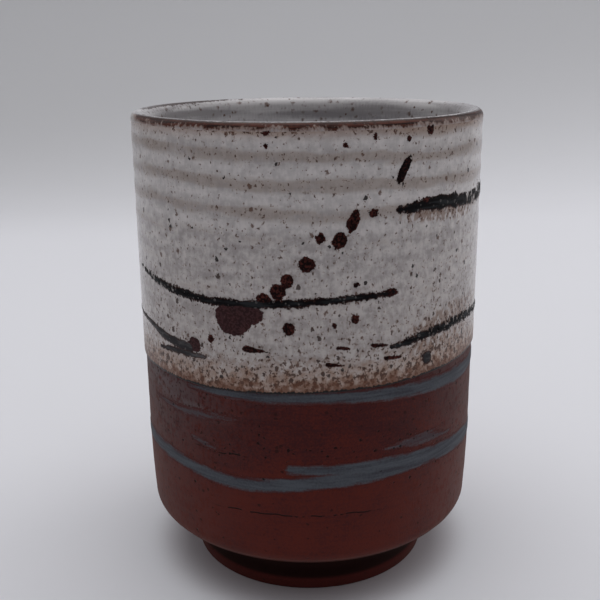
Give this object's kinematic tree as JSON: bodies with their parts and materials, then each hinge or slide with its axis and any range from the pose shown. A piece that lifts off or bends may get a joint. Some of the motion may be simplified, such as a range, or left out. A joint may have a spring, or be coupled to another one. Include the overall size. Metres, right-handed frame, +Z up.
{
  "type": "yunomi tea cup",
  "caption": "Straight handleless stoneware tea cup on a turned foot ring, its upper half dipped in speckled white glaze with brushed strokes and iron splashes.",
  "frame": {"origin": "centre of the foot ring, on the table", "axes": "+Z up along the axis of the cup, -Y towards the decorated front, +X to the right of it"},
  "size_m": [0.0772, 0.0771, 0.104],
  "materials": {
    "red_stoneware": "bare fired clay, matt with a fine grain",
    "speckled_glaze": "satin white glaze with brown iron speckles",
    "liner_glaze": "glossy pale glaze with few speckles",
    "iron_rim": "brown glaze broken thin over the lip",
    "grey_slip": "matt brushed blue-grey slip",
    "dark_stroke": "satin black brushwork",
    "iron_drop": "satin iron-brown drops"
  },
  "bodies": {
    "root": {"thrown_body": "red_stoneware", "foot_ring": "red_stoneware", "liner_glaze": "liner_glaze", "outer_glaze": "speckled_glaze", "iron_rim": "iron_rim", "upper_slip_band": "grey_slip", "lower_slip_band": "grey_slip", "slip_wisps": "grey_slip", "long_stroke": "dark_stroke", "upper_right_stroke": "dark_stroke", "lower_right_stroke": "dark_stroke", "lower_left_stroke": "dark_stroke", "short_dashes": "iron_drop", "iron_splashes": "iron_drop"}
  },
  "joints": []
}
